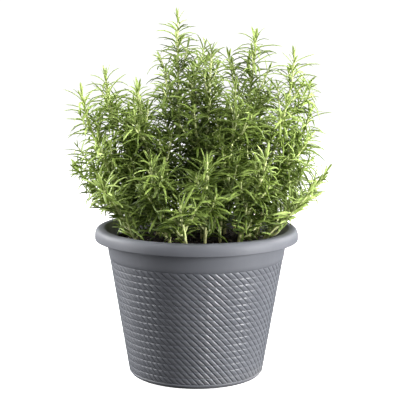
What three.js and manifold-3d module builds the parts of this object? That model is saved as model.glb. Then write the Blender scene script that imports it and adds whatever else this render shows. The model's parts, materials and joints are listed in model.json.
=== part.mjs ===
// A rosemary plant growing in a round plastic planter, in millimetres, +Z up.
// The origin is the middle of the foot that the planter stands on. The side most often seen is -Y.
// Solids: the planter, the soil that fills it, and one leafy stem for each shoot that leaves the soil.
// Every leaf is fused to its stem, and no leaf or twig crosses another stem's solid.

import * as THREE from "three";
import { mergeVertices } from "three/addons/utils/BufferGeometryUtils.js";
import Module from "manifold-3d";

const wasm = await Module();
wasm.setup();

const vec = (x, y, z) => new THREE.Vector3(x, y, z);
const radians = THREE.MathUtils.degToRad;

// ---------------------------------------------------------------- driving dimensions

const SIDES = 72; // facets round the planter and the soil, one for each column of the weave
const RIM_RADIUS = 150;
const POT_HEIGHT = 220;
const WALL = 3;
const FLOOR_TOP = 5;
const WALL_RADIUS_AT_ZERO = 98.9; // the tapered wall, carried down to z = 0
const WALL_TAPER = 0.169; // radius gained for each millimetre of height
const FOOT_RADIUS = 91;

const WEAVE_BOTTOM = 7.5; // the woven relief
const WEAVE_TOP = 175.3;
const WEAVE_ROWS = 17;
const WEAVE_TURN = 0.5; // cells that the whole weave is turned by
const WEAVE_DEPTH = 1.2;

const SKIRT_BOTTOM = 203; // the rolled rim hangs down to here
const SKIRT_THICKNESS = 2.8;

const FOOT_PAD_RADIUS = 16; // a flat pad in the middle of the underside, level with the foot ring
const FOOT_RING_WIDTH = 10;
const FOOT_RECESS = 2.2;

const DRAIN_HOLES = 5;
const DRAIN_RADIUS = 4.5;
const DRAIN_CIRCLE = 50;
const HOOK_SLOTS = 3; // narrow slots in the rim that take hanging hooks
const HOOK_SLOT_WIDTH = 4;
const HOOK_SLOT_LENGTH = 13;
const HOOK_SLOT_CIRCLE = 142;
const FIRST_HOOK_ANGLE = 9; // degrees from +X

const GAP = 0.35; // between solids that touch
const SOIL_EDGE = 197; // soil height at the wall
const SOIL_CROWN = 7; // how much higher its middle is
const SOIL_LUMP = 2.2;
const ROOT_DEPTH = 22; // how far a stem stands in its hole
const COLLAR = 5; // and how far it goes on straight up above the soil

const STEM_SIDES = 4; // young shoots of this plant are square
const TWIG_SIDES = 3;
const STEM_JOINT = 55; // length of one straight piece of a bending stem
const STEM_RADIUS = 2.3; // at the soil
const STEM_TIP_RADIUS = 1.4;
const STEM_RISE = 0.22; // how long a stem holds its first direction, as a share of its height
const TIP_RISE = 0.42; // and its last
const TWIG_RADIUS = 1.6;
const TWIG_TIP_RADIUS = 1.2;
const LOWEST_TWIG = 0.12; // places along the stem, from 0 at the soil to 1 at the tip
const HIGHEST_TWIG = 0.66;
const TWIG_LENGTH = 0.38; // at the soil, as a share of the stem's height
const TWIG_LOSS = 0.28; // taken off that share towards the stem's tip

const LEAF_LENGTH = 31;
const TWIG_LEAF_LENGTH = 27;
const LEAF_WIDTH = 2.6;
const LEAF_DEPTH = 1.5;
const BEND_SHARE = 0.38; // how far along its length a leaf is widest and bends
const STEM_LEAF_STEP = 12.5; // between one leaf and the next along a stem
const TWIG_LEAF_STEP = 16;
const LEAF_SLANT = 58; // degrees between a leaf's root and its stem
const LEAF_ARCH = 38; // how much further out its tip half points
const YOUNG_LEAVES = 0.3; // the last stretch of a shoot, where leaves are shorter and steeper
const LEAF_CLEARANCE = 3.4; // least distance between the middle lines of two stems' leaves
const OWN_CLEARANCE = 2.3; // and between leaves of one stem
const TRIES = 10; // places tried for a leaf whose own place is taken
const TRY_TURN = 31;
const MERGE = 0.1; // corners of a finished stem that lie closer than this become one
const TURN = 137.5; // degrees from each leaf to the next round the stem
const SEED = 20;

// Each stem: name, where it leaves the soil (x, y), its tip (x, y, z), how far its tip leans
// outwards (0 upright, 1 at 45 degrees), the direction of its first twig in degrees, and its twigs.
const STEMS = [
  ["stem_tall_middle", -22, 12, -28, 22, 518, 0.0, 20, 6],
  ["stem_tall_right", 42, 18, 86, 30, 497, 0.05, 203, 6],
  ["stem_far_right", 78, 4, 141, 8, 466, 0.06, 75, 6],
  ["stem_dark_middle", 8, -14, 20, -2, 474, 0.05, 330, 5],
  ["stem_left_high", -58, 8, -133, 0, 438, 0.1, 131, 6],
  ["stem_left_outer", -88, -12, -165, -22, 412, 0.15, 230, 5],
  ["stem_left_inner", -44, -22, -84, -34, 420, 0.1, 60, 5],
  ["stem_right_inner", 34, -30, 54, -46, 424, 0.0, 193, 5],
  ["stem_right_mid", 90, 26, 166, 24, 388, 0.2, 40, 5],
  ["stem_left_low", -98, 22, -176, 34, 296, 0.9, 80, 4],
  ["stem_right_low", 100, -18, 187, -22, 304, 0.55, 250, 4],
  ["stem_front_left", -38, -66, -64, -120, 330, 0.25, 130, 5],
  ["stem_front_middle", 12, -72, 14, -128, 332, 0.2, 20, 5],
  ["stem_front_right", 60, -66, 96, -112, 336, 0.25, 300, 5],
  ["stem_corner_left", -84, -56, -132, -96, 296, 0.45, 193, 4],
  ["stem_corner_right", 96, -50, 158, -82, 286, 0.45, 350, 4],
  ["stem_back_left", -58, 62, -94, 104, 412, 0.15, 100, 5],
  ["stem_back_middle", 0, 58, -6, 104, 446, 0.1, 40, 6],
  ["stem_back_right", 58, 60, 94, 104, 418, 0.15, 280, 5],
  ["stem_back_left_low", -94, 60, -142, 90, 316, 0.45, 150, 4],
  ["stem_back_right_low", 94, 56, 146, 86, 320, 0.45, 10, 4],
  ["stem_back_low", 14, 98, 20, 144, 312, 0.45, 230, 4],
  ["stem_front_low", -14, -98, -22, -154, 276, 0.45, 90, 4],
];

// ---------------------------------------------------------------- closed meshes from rings

// Points and outward faces of one closed surface.
class Surface {
  points = [];
  faces = [];

  add(point) {
    return this.points.push(point) - 1;
  }

  // A ring of the planter: its points turn by `shift` facets, so that rows can lean.
  ring(radius, z, shift = 0) {
    return Array.from({ length: SIDES }, (_, i) => {
      const angle = ((i + shift) * 2 * Math.PI) / SIDES;
      return this.add(vec(radius * Math.cos(angle), radius * Math.sin(angle), z));
    });
  }

  bridge(low, high) {
    low.forEach((a, i) => {
      const next = (i + 1) % low.length;
      this.faces.push([a, low[next], high[next]], [a, high[next], high[i]]);
    });
  }

  startAt(point, ring) {
    const centre = this.add(point);
    ring.forEach((a, i) => this.faces.push([centre, ring[(i + 1) % ring.length], a]));
  }

  endAt(ring, point) {
    const centre = this.add(point);
    ring.forEach((a, i) => this.faces.push([a, ring[(i + 1) % ring.length], centre]));
  }

  solid() {
    const vertProperties = new Float32Array(this.points.flatMap((p) => [p.x, p.y, p.z]));
    const triVerts = new Uint32Array(this.faces.flat());
    return new wasm.Manifold(new wasm.Mesh({ numProp: 3, vertProperties, triVerts }));
  }
}

// A closed three.js geometry as a solid.
function solidOf(geometry) {
  geometry.deleteAttribute("normal");
  geometry.deleteAttribute("uv");
  const { attributes, index } = mergeVertices(geometry, 1e-3);
  const vertProperties = attributes.position.array;
  const triVerts = new Uint32Array(index.array);
  return new wasm.Manifold(new wasm.Mesh({ numProp: 3, vertProperties, triVerts }));
}

function geometryOf(solid) {
  const made = solid.getMesh();
  const positions = new Float32Array(made.numVert * 3);
  for (let i = 0; i < made.numVert; i++) {
    const start = i * made.numProp;
    positions.set(made.vertProperties.subarray(start, start + 3), i * 3);
  }
  const geometry = new THREE.BufferGeometry();
  geometry.setAttribute("position", new THREE.BufferAttribute(positions, 3));
  geometry.setIndex(new THREE.BufferAttribute(made.triVerts, 1));
  return geometry;
}

function meshOf(name, solid, material) {
  const geometry = geometryOf(solid);
  geometry.computeVertexNormals();
  const mesh = new THREE.Mesh(geometry, material);
  mesh.name = name;
  return mesh;
}

// ---------------------------------------------------------------- planter

const plastic = new THREE.MeshStandardMaterial({ color: 0x7b7f86, roughness: 0.5, metalness: 0 });
const earth = new THREE.MeshStandardMaterial({ color: 0x2b221b, roughness: 0.95, metalness: 0 });
const leafGreen = new THREE.MeshStandardMaterial({ color: 0x7f9c45, roughness: 0.55, metalness: 0 });

const wallRadius = (z) => WALL_RADIUS_AT_ZERO + WALL_TAPER * z;
const innerRadius = (z) => wallRadius(z) - WALL;

// A round shell: foot, woven wall, plain band, hollow rolled rim, then down the inside to the floor.
function planter() {
  const shell = new Surface();
  let last = shell.ring(FOOT_PAD_RADIUS, 0);
  shell.startAt(vec(0, 0, 0), last);
  const go = (radius, z, shift = 0) => {
    const next = shell.ring(radius, z, shift);
    shell.bridge(last, next);
    last = next;
  };
  go(FOOT_PAD_RADIUS + 2, FOOT_RECESS);
  go(FOOT_RADIUS - FOOT_RING_WIDTH - 2, FOOT_RECESS);
  go(FOOT_RADIUS - FOOT_RING_WIDTH, 0);
  go(FOOT_RADIUS, 0);
  go(wallRadius(5.5) - 0.4, 5.5, WEAVE_TURN);

  // The weave: leaning cells that rise to a point in the middle, with grooves between them.
  const rowHeight = (WEAVE_TOP - WEAVE_BOTTOM) / WEAVE_ROWS;
  go(wallRadius(WEAVE_BOTTOM) - WEAVE_DEPTH, WEAVE_BOTTOM, WEAVE_TURN);
  for (let row = 1; row <= WEAVE_ROWS; row++) {
    const z = WEAVE_BOTTOM + row * rowHeight;
    const above = shell.ring(wallRadius(z) - WEAVE_DEPTH, z, WEAVE_TURN - row);
    last.forEach((a, i) => {
      const next = (i + 1) % SIDES;
      const corners = [a, last[next], above[next], above[i]];
      const middle = new THREE.Vector3();
      corners.forEach((c) => middle.addScaledVector(shell.points[c], 0.25));
      const raise = wallRadius(middle.z) / Math.hypot(middle.x, middle.y);
      const crest = shell.add(vec(middle.x * raise, middle.y * raise, middle.z));
      corners.forEach((c, k) => shell.faces.push([c, corners[(k + 1) % 4], crest]));
    });
    last = above;
  }

  const shift = WEAVE_TURN - WEAVE_ROWS;
  const crown = POT_HEIGHT;
  const skirtInside = RIM_RADIUS - SKIRT_THICKNESS;
  go(wallRadius(WEAVE_TOP) + 0.4, WEAVE_TOP + 1.5, shift);
  go(wallRadius(crown - 6), crown - 6, shift);
  go(wallRadius(crown) + 3, crown - 3.2, shift);
  go(skirtInside, crown - 6, shift);
  go(skirtInside, SKIRT_BOTTOM, shift);
  go(RIM_RADIUS, SKIRT_BOTTOM, shift);
  go(RIM_RADIUS - 0.4, crown - 8, shift);
  go(RIM_RADIUS - 2.6, crown - 2.6, shift);
  go(RIM_RADIUS - 7, crown, shift);
  go(innerRadius(crown) + 2.6, crown, shift);
  go(innerRadius(crown - 2), crown - 2, shift);
  go(innerRadius(FLOOR_TOP + 3), FLOOR_TOP + 3, shift);
  go(innerRadius(FLOOR_TOP) - 3, FLOOR_TOP, shift);
  shell.endAt(last, vec(0, 0, FLOOR_TOP));

  const cuts = [];
  for (let k = 0; k < DRAIN_HOLES; k++) {
    const angle = (k * 2 * Math.PI) / DRAIN_HOLES;
    const hole = new THREE.CylinderGeometry(DRAIN_RADIUS, DRAIN_RADIUS, 4 * FLOOR_TOP, 10);
    hole.rotateX(Math.PI / 2).translate(DRAIN_CIRCLE, 0, 0).rotateZ(angle);
    cuts.push(solidOf(hole));
  }
  for (let k = 0; k < HOOK_SLOTS; k++) {
    const angle = radians(FIRST_HOOK_ANGLE) + (k * 2 * Math.PI) / HOOK_SLOTS;
    const slot = new THREE.BoxGeometry(HOOK_SLOT_WIDTH, HOOK_SLOT_LENGTH, 10);
    slot.translate(HOOK_SLOT_CIRCLE, 0, crown).rotateZ(angle);
    cuts.push(solidOf(slot));
  }
  return shell.solid().subtract(wasm.Manifold.union(cuts));
}

// ---------------------------------------------------------------- soil

// Soil height: a low crown with lumps.
function soilHeight(x, y) {
  const away = Math.hypot(x, y) / innerRadius(SOIL_EDGE);
  const lumps = Math.sin(x * 0.11 + 1.3) * Math.cos(y * 0.13 - 0.4) + 0.6 * Math.sin((x - y) * 0.07);
  return SOIL_EDGE + SOIL_CROWN * (1 - away * away) + SOIL_LUMP * lumps * (1 - away ** 4);
}

function soil() {
  const body = new Surface();
  const foot = innerRadius(FLOOR_TOP) - 3 - GAP;
  const edge = innerRadius(SOIL_EDGE) - GAP;
  let last = body.ring(foot, FLOOR_TOP + GAP);
  body.startAt(vec(0, 0, FLOOR_TOP + GAP), last);
  const top = [1, 0.76, 0.44].map((share) => {
    const ring = body.ring(edge * share, 0);
    ring.forEach((i) => (body.points[i].z = soilHeight(body.points[i].x, body.points[i].y)));
    return ring;
  });
  const knee = body.ring(innerRadius(FLOOR_TOP + 3) - GAP, FLOOR_TOP + 3);
  for (const ring of [knee, ...top]) {
    body.bridge(last, ring);
    last = ring;
  }
  body.endAt(last, vec(0, 0, soilHeight(0, 0)));
  const holes = stems.map((stem) => {
    const radius = STEM_RADIUS + GAP / Math.cos(Math.PI / STEM_SIDES);
    const [low, high] = [stem.root.z - GAP, stem.root.z + 2 * ROOT_DEPTH];
    const hole = new Surface();
    const ring = (z) => stemRing(hole, vec(stem.root.x, stem.root.y, z), vec(0, 0, 1), radius);
    const [bottom, mouth] = [ring(low), ring(high)];
    hole.startAt(vec(stem.root.x, stem.root.y, low), bottom);
    hole.bridge(bottom, mouth);
    hole.endAt(mouth, vec(stem.root.x, stem.root.y, high));
    return hole.solid();
  });
  return body.solid().subtract(wasm.Manifold.union(holes));
}

// ---------------------------------------------------------------- how a stem grows

// A seeded random draw between 0 and 1.
function draws(seed) {
  let state = seed >>> 0;
  return () => {
    state = (state + 0x6d2b79f5) >>> 0;
    let t = Math.imul(state ^ (state >>> 15), 1 | state);
    t = (t + Math.imul(t ^ (t >>> 7), 61 | t)) ^ t;
    return ((t ^ (t >>> 14)) >>> 0) / 4294967296;
  };
}

// Two directions square to `along`, for placing things round a stem.
function across(along) {
  const v = vec(0, 1, 0).cross(along).normalize();
  return [v, along.clone().cross(v)];
}

function roundStem(along, degrees) {
  const [u, v] = across(along);
  return u.multiplyScalar(Math.cos(radians(degrees))).addScaledVector(v, Math.sin(radians(degrees)));
}

// A stem leaves the soil upright, leans out to the side and turns up again to its tip.
function growStem([name, x, y, tipX, tipY, tipZ, lean, firstTwig, twigCount]) {
  const root = vec(x, y, soilHeight(x, y) - ROOT_DEPTH);
  const collar = vec(x, y, root.z + ROOT_DEPTH + COLLAR);
  const tip = vec(tipX, tipY, tipZ);
  const height = tip.z - collar.z;
  const outward = vec(tipX - x, tipY - y, 0).normalize();
  const risen = collar.clone().add(vec(0, 0, height * STEM_RISE));
  const tipDirection = vec(0, 0, 1).addScaledVector(outward, lean).normalize();
  const belowTip = tip.clone().addScaledVector(tipDirection, -height * TIP_RISE);
  const line = new THREE.CubicBezierCurve3(collar, risen, belowTip, tip);

  // Twigs turn round the stem by the same angle each time, and the higher ones are shorter.
  const twigs = [];
  for (let k = 0; k < twigCount; k++) {
    const share = LOWEST_TWIG + ((HIGHEST_TWIG - LOWEST_TWIG) * k) / (twigCount - 1);
    const start = line.getPointAt(share);
    const along = line.getTangentAt(share);
    const out = roundStem(along, firstTwig + k * TURN);
    const uneven = [-6, 8, 22][k % 3];
    const length = height * (TWIG_LENGTH - TWIG_LOSS * share) + uneven;
    const leaving = along.clone().multiplyScalar(0.62).addScaledVector(out, 0.78);
    const middle = start.clone().addScaledVector(leaving, length * 0.45);
    const rising = along.clone().multiplyScalar(0.86).addScaledVector(out, 0.3).add(vec(0, 0, 0.25));
    const end = middle.clone().addScaledVector(rising.normalize(), length * 0.6);
    twigs.push(new THREE.QuadraticBezierCurve3(start, middle, end));
  }
  return { name, root, line, twigs };
}

const stems = STEMS.map(growStem);

// ---------------------------------------------------------------- what lies where

// Points along the middle of every stem, twig and leaf, in a grid of cells, so that a new one
// can be tested against its neighbours.
const CELL = 8;
const grid = new Map();
const cellOf = (p) => [p.x, p.y, p.z].map((v) => Math.floor(v / CELL));

function occupy(points, owner, kind) {
  for (const p of points) {
    const key = cellOf(p).join();
    if (!grid.has(key)) grid.set(key, []);
    grid.get(key).push({ p, owner, kind });
  }
}

function nearest(point, wanted) {
  const [cx, cy, cz] = cellOf(point);
  let least = Infinity;
  for (let i = -1; i <= 1; i++)
    for (let j = -1; j <= 1; j++)
      for (let k = -1; k <= 1; k++)
        for (const other of grid.get([cx + i, cy + j, cz + k].join()) ?? [])
          if (wanted(other)) least = Math.min(least, other.p.distanceTo(point));
  return least;
}

const sampled = (line, step = 2) => line.getSpacedPoints(Math.ceil(line.getLength() / step));
stems.forEach(({ name, line, twigs }) => {
  [line, ...twigs].forEach((l) => occupy(sampled(l), name, "wood"));
});

// ---------------------------------------------------------------- wood and leaves

function stemRing(surface, centre, along, radius, sides = STEM_SIDES) {
  return Array.from({ length: sides }, (_, i) => {
    const out = roundStem(along, (i * 360) / sides);
    return surface.add(centre.clone().addScaledVector(out, radius));
  });
}

// A tapering stick along a line, pointed at its tip.
function stick(points, startRadius, endRadius, sides) {
  const wood = new Surface();
  let last = null;
  points.slice(0, -1).forEach((p, i) => {
    const along = points[i + 1].clone().sub(points[Math.max(i - 1, 0)]).normalize();
    const radius = startRadius + ((endRadius - startRadius) * i) / (points.length - 2);
    const ring = stemRing(wood, p, along, radius, sides);
    if (last) wood.bridge(last, ring);
    else wood.startAt(p, ring);
    last = ring;
  });
  wood.endAt(last, points.at(-1));
  return wood.solid();
}

// The middle line of a leaf: it leaves the stem at a slant and arches outwards.
function leafLine(start, along, out, length, slant, arch) {
  const direction = (degrees) =>
    along.clone().multiplyScalar(Math.cos(radians(degrees))).addScaledVector(out, Math.sin(radians(degrees)));
  const bend = start.clone().addScaledVector(direction(slant), length * BEND_SHARE);
  const tip = bend.clone().addScaledVector(direction(slant + arch), length * (1 - BEND_SHARE));
  return [start, bend, tip];
}

// A leaf: flat above, keeled below, widest at its bend. It is pointed at its tip and at its root,
// which is sunk through the wood to just inside the far side.
function leaf([start, bend, tip], along, woodRadius) {
  const blade = new Surface();
  const forward = bend.clone().sub(start).normalize();
  const side = forward.clone().cross(along).normalize();
  const above = side.clone().cross(forward);
  const middle = [
    bend.clone().addScaledVector(side, LEAF_WIDTH / 2),
    bend.clone().addScaledVector(above, -LEAF_DEPTH),
    bend.clone().addScaledVector(side, -LEAF_WIDTH / 2),
  ].map((p) => blade.add(p));
  blade.startAt(start.clone().addScaledVector(forward, -0.45 * woodRadius), middle);
  blade.endAt(middle, tip);
  return blade.solid();
}

// A leaf may not enter the planter's rim, sink below the soil or cross what already stands.
function isClear(line, owner) {
  const points = [];
  for (let share = 0.2; share <= 1; share += 0.07) {
    const [a, b] = share < BEND_SHARE ? [line[0], line[1]] : [line[1], line[2]];
    const along = share < BEND_SHARE ? share / BEND_SHARE : (share - BEND_SHARE) / (1 - BEND_SHARE);
    points.push(a.clone().lerp(b, along));
  }
  const stands = points.every((p) => {
    const away = Math.hypot(p.x, p.y);
    return away > innerRadius(SOIL_EDGE) - 4 ? p.z > POT_HEIGHT + 3 : p.z > soilHeight(p.x, p.y) + 4;
  });
  const apart = (p) => nearest(p, (o) => o.owner !== owner) > LEAF_CLEARANCE;
  const untangled = (p) => nearest(p, (o) => o.owner === owner && o.kind === "leaf") > OWN_CLEARANCE;
  if (!stands || !points.every(apart) || !points.slice(3).every(untangled)) return false;
  occupy(points, owner, "leaf");
  return true;
}

// Leaves along one line, each tried in a few directions until it is clear.
function leavesAlong(line, { from, step, size, woodRadius, firstAngle, owner, random }) {
  const leaves = [];
  const length = line.getLength();
  const count = Math.floor(((1 - from) * length) / step);
  for (let k = 0; k <= count; k++) {
    const share = Math.min(from + (k * step) / length, 0.985);
    const start = line.getPointAt(share);
    const along = line.getTangentAt(share);
    const young = Math.max(0, share - 1 + YOUNG_LEAVES) / YOUNG_LEAVES;
    for (let attempt = 0; attempt < TRIES; attempt++) {
      const angle = firstAngle + k * TURN + attempt * TRY_TURN;
      const slant = LEAF_SLANT - 28 * young + 8 * (random() - 0.5);
      const arch = LEAF_ARCH - 14 * young + 12 * (random() - 0.5);
      const reach = size * (1 - 0.22 * young) * (0.88 + 0.24 * random());
      const middle = leafLine(start, along, roundStem(along, angle), reach, slant, arch);
      if (!isClear(middle, owner)) continue;
      leaves.push(leaf(middle, along, woodRadius));
      break;
    }
  }
  return leaves;
}

function leafyStem({ name, root, line, twigs }, index) {
  const shared = { owner: name, random: draws(SEED + index) };
  const joints = Math.max(4, Math.round(line.getLength() / STEM_JOINT));
  const pieces = [stick([root, ...line.getSpacedPoints(joints)], STEM_RADIUS, STEM_TIP_RADIUS, STEM_SIDES)];
  const onStem = { from: 0.16, step: STEM_LEAF_STEP, size: LEAF_LENGTH, woodRadius: STEM_TIP_RADIUS };
  pieces.push(...leavesAlong(line, { ...shared, ...onStem, firstAngle: 40 * index }));
  const onTwig = { from: 0.24, step: TWIG_LEAF_STEP, size: TWIG_LEAF_LENGTH, woodRadius: TWIG_TIP_RADIUS };
  twigs.forEach((twig, k) => {
    pieces.push(stick(twig.getSpacedPoints(2), TWIG_RADIUS, TWIG_TIP_RADIUS, TWIG_SIDES));
    pieces.push(...leavesAlong(twig, { ...shared, ...onTwig, firstAngle: 70 * k }));
  });
  return oneBody(wasm.Manifold.union(pieces).simplify(MERGE));
}

// Leaves that meet can close off a small hollow, which is left out so that the stem is one body.
function oneBody(solid) {
  const largest = (parts) => parts.reduce((most, part) => (part.volume() > most.volume() ? part : most));
  return largest(solidOf(geometryOf(largest(solid.decompose()))).decompose());
}

// ---------------------------------------------------------------- the assembly

const pottedRosemary = new THREE.Group();
pottedRosemary.add(meshOf("planter", planter(), plastic));
pottedRosemary.add(meshOf("soil", soil(), earth));
stems.forEach((stem, index) => {
  pottedRosemary.add(meshOf(stem.name, leafyStem(stem, index), leafGreen));
});

export default pottedRosemary;
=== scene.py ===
import json
import math

import bpy
import numpy as np
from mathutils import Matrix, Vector, noise

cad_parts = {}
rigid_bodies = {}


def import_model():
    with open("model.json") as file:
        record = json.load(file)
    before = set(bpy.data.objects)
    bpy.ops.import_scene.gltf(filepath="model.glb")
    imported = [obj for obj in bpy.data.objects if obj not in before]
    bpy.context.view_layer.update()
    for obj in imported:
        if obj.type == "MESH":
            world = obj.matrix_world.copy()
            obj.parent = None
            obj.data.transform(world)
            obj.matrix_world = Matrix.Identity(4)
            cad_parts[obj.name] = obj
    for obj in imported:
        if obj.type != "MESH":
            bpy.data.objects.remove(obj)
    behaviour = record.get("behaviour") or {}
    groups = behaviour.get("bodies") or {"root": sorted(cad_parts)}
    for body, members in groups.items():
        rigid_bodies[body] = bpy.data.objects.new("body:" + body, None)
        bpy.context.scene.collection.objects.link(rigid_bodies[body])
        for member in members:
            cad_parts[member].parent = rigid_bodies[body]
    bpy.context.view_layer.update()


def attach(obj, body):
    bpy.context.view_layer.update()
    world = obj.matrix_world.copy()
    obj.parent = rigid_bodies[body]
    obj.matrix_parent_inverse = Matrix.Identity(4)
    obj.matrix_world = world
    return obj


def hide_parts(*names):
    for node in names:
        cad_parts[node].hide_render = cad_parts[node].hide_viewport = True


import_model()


# ------------------------------------------------------------------ planter
# One injection moulded shell of grey plastic: a foot ring, a tapered wall with a woven relief of
# leaning cells, a plain band above it and a hollow rolled rim. The relief and the fine grain come
# from the mould, and the three slots in the rim take hanging hooks.

MM = 0.001  # sizes named in capitals are in millimetres, those of meshes and node trees in metres
RIM_RADIUS = 150
POT_HEIGHT = 220
WALL = 3
FLOOR_TOP = 5
CORNER = 3  # the rounding between the floor and the wall inside
SKIRT_BOTTOM = 203  # the rolled rim hangs down to here
SKIRT_THICKNESS = 2.8
WALL_RADIUS_AT_ZERO = 98.9  # the tapered wall, carried down to z = 0
WALL_TAPER = 0.169  # radius gained for each millimetre of height
WEAVE_BOTTOM = 7.5
WEAVE_TOP = 175.3
WEAVE_COLUMNS = 72
WEAVE_ROWS = 17
WEAVE_TURN = 0.5  # cells that the whole weave is turned by
WEAVE_DEPTH = 1.2
ACROSS_CELL = (0, 0.02, 0.14, 0.18, 0.74, 0.78, 0.98)  # where each cell has its lines of points
UP_CELL = (0, 0.02, 0.11, 0.15, 0.78, 0.82, 0.98)
DRAIN_HOLES = 5
DRAIN_RADIUS = 4.5
DRAIN_CIRCLE = 50
DRAIN_CUT = (-5, 15)  # the heights between which a drain hole is cut
HOOK_SLOTS = 3
HOOK_SLOT_WIDTH = 4
HOOK_SLOT_LENGTH = 13
HOOK_SLOT_CIRCLE = 142
HOOK_SLOT_CUT = 5  # how far a slot is cut below and above the rim's top
FIRST_HOOK_ANGLE = 9  # degrees from +X
ROUND_SIDES = 24  # of a drain hole, or of the two round ends of a slot


def wall_radius(z):
    return WALL_RADIUS_AT_ZERO + WALL_TAPER * z


def inner_radius(z):
    return wall_radius(z) - WALL


class Wire:
    """One output of a node. Arithmetic on it adds the Math nodes that work it out."""

    def __init__(self, sheet, socket):
        self.sheet, self.socket = sheet, socket

    def math(self, operation, *values):
        return self.sheet.add("ShaderNodeMath", {"operation": operation}, dict(enumerate(values)))

    def __add__(self, other):
        return self.math("ADD", self, other)

    def __sub__(self, other):
        return self.math("SUBTRACT", self, other)

    def __rsub__(self, other):
        return self.math("SUBTRACT", other, self)

    def __mul__(self, other):
        return self.math("MULTIPLY", self, other)

    def __truediv__(self, other):
        return self.math("DIVIDE", self, other)

    def __pow__(self, other):
        return self.math("POWER", self, other)

    def __lt__(self, other):
        return self.math("LESS_THAN", self, other)

    def __gt__(self, other):
        return self.math("GREATER_THAN", self, other)

    def least(self, other):
        return self.math("MINIMUM", self, other)

    def most(self, other):
        return self.math("MAXIMUM", self, other)

    def rise(self, start, end):
        """0 below start, 1 above end, and a smooth step between them."""
        ends = {"Value": self, "From Min": start, "From Max": end}
        return self.sheet.add("ShaderNodeMapRange", {"interpolation_type": "SMOOTHSTEP"}, ends)

    def out(self, name):
        """Another output of the same node."""
        return Wire(self.sheet, self.socket.node.outputs[name])

    __radd__ = __add__
    __rmul__ = __mul__


class Sheet:
    """A node tree being drawn."""

    def __init__(self, tree):
        self.tree = tree

    def add(self, kind, settings=None, inputs=None, output=0):
        """Puts in a node: its settings first, then the values or wires of its sockets."""
        node = self.tree.nodes.new(kind)
        for name, value in (settings or {}).items():
            setattr(node, name, value)
        for key, value in (inputs or {}).items():
            socket = self.socket(node.inputs, key)
            if isinstance(value, Wire):
                self.tree.links.new(value.socket, socket)
            else:
                socket.default_value = value
        return Wire(self, self.socket(node.outputs, output)) if node.outputs else node

    @staticmethod
    def socket(sockets, key):
        """A socket by its number, or by its identifier or name, an enabled one first."""
        if isinstance(key, int):
            return sockets[key]
        named = [s for s in sockets if s.identifier == key] or [s for s in sockets if s.name == key]
        return next((s for s in named if s.enabled), named[0])

    def attribute(self, name):
        """A number that the mesh carries at each point."""
        if isinstance(self.tree, bpy.types.GeometryNodeTree):
            return self.add("GeometryNodeInputNamedAttribute", {}, {"Name": name})
        return self.add("ShaderNodeAttribute", {"attribute_name": name}, output="Fac")

    def mix(self, factor, first, second):
        """Two colours mixed. Each is a wire or an RGB triple."""
        pair = [c if isinstance(c, Wire) else (*c, 1) for c in (first, second)]
        values = {"Factor_Float": factor, "A_Color": pair[0], "B_Color": pair[1]}
        return self.add("ShaderNodeMix", {"data_type": "RGBA"}, values, output="Result_Color")


def growing_tree(name, **sizes):
    """A geometry node tree with a named input for each size. Returns its sheet and those inputs."""
    tree = bpy.data.node_groups.new(name, "GeometryNodeTree")
    tree.interface.new_socket("Geometry", in_out="OUTPUT", socket_type="NodeSocketGeometry")
    tree.interface.new_socket("Geometry", in_out="INPUT", socket_type="NodeSocketGeometry")
    for size, value in sizes.items():
        kind = {int: "Int", float: "Float"}.get(type(value), value)
        made = tree.interface.new_socket(size, in_out="INPUT", socket_type="NodeSocket" + kind)
        if kind != value:
            made.default_value = value
    sheet = Sheet(tree)
    start = sheet.add("NodeGroupInput")
    return sheet, {"Geometry": start, **{size: start.out(size) for size in sizes}}


def make_plain(piece):
    """Keeps what a piece's modifiers make of it as its plain mesh."""
    depsgraph = bpy.context.evaluated_depsgraph_get()
    shaped = piece.evaluated_get(depsgraph)
    piece.data = bpy.data.meshes.new_from_object(shaped, depsgraph=depsgraph)
    piece.modifiers.clear()


def grow(piece, tree, **values):
    """Runs a geometry node tree on a piece and keeps the result as the piece's plain mesh."""
    modifier = piece.modifiers.new(tree.name, "NODES")
    modifier.node_group = tree
    for item in tree.interface.items_tree:
        if item.in_out == "INPUT" and item.name in values:
            modifier[item.identifier] = values[item.name]
    make_plain(piece)
    if None in piece.data.materials[:]:
        piece.data.materials.pop(index=piece.data.materials[:].index(None))


def piece_of(name, points, faces=()):
    """A new object from points in millimetres."""
    mesh = bpy.data.meshes.new(name)
    metres = np.asarray(points, float).reshape(-1, 3) * MM
    mesh.from_pydata(metres.tolist(), [], list(faces))
    piece = bpy.data.objects.new(name, mesh)
    bpy.context.scene.collection.objects.link(piece)
    return piece


def carry(piece, name, numbers):
    """Gives each point of a piece a number under a name."""
    layer = piece.data.attributes.new(name, "FLOAT", "POINT")
    layer.data.foreach_set("value", np.asarray(numbers, np.float32))


def skin(rings, sides):
    """The faces between rings of points that lie one after another, each closed on itself."""
    following = [*range(1, sides), 0]
    return [
        (low + i, low + j, low + sides + j, low + sides + i)
        for low in range(0, (rings - 1) * sides, sides) for i, j in enumerate(following)
    ]


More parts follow.
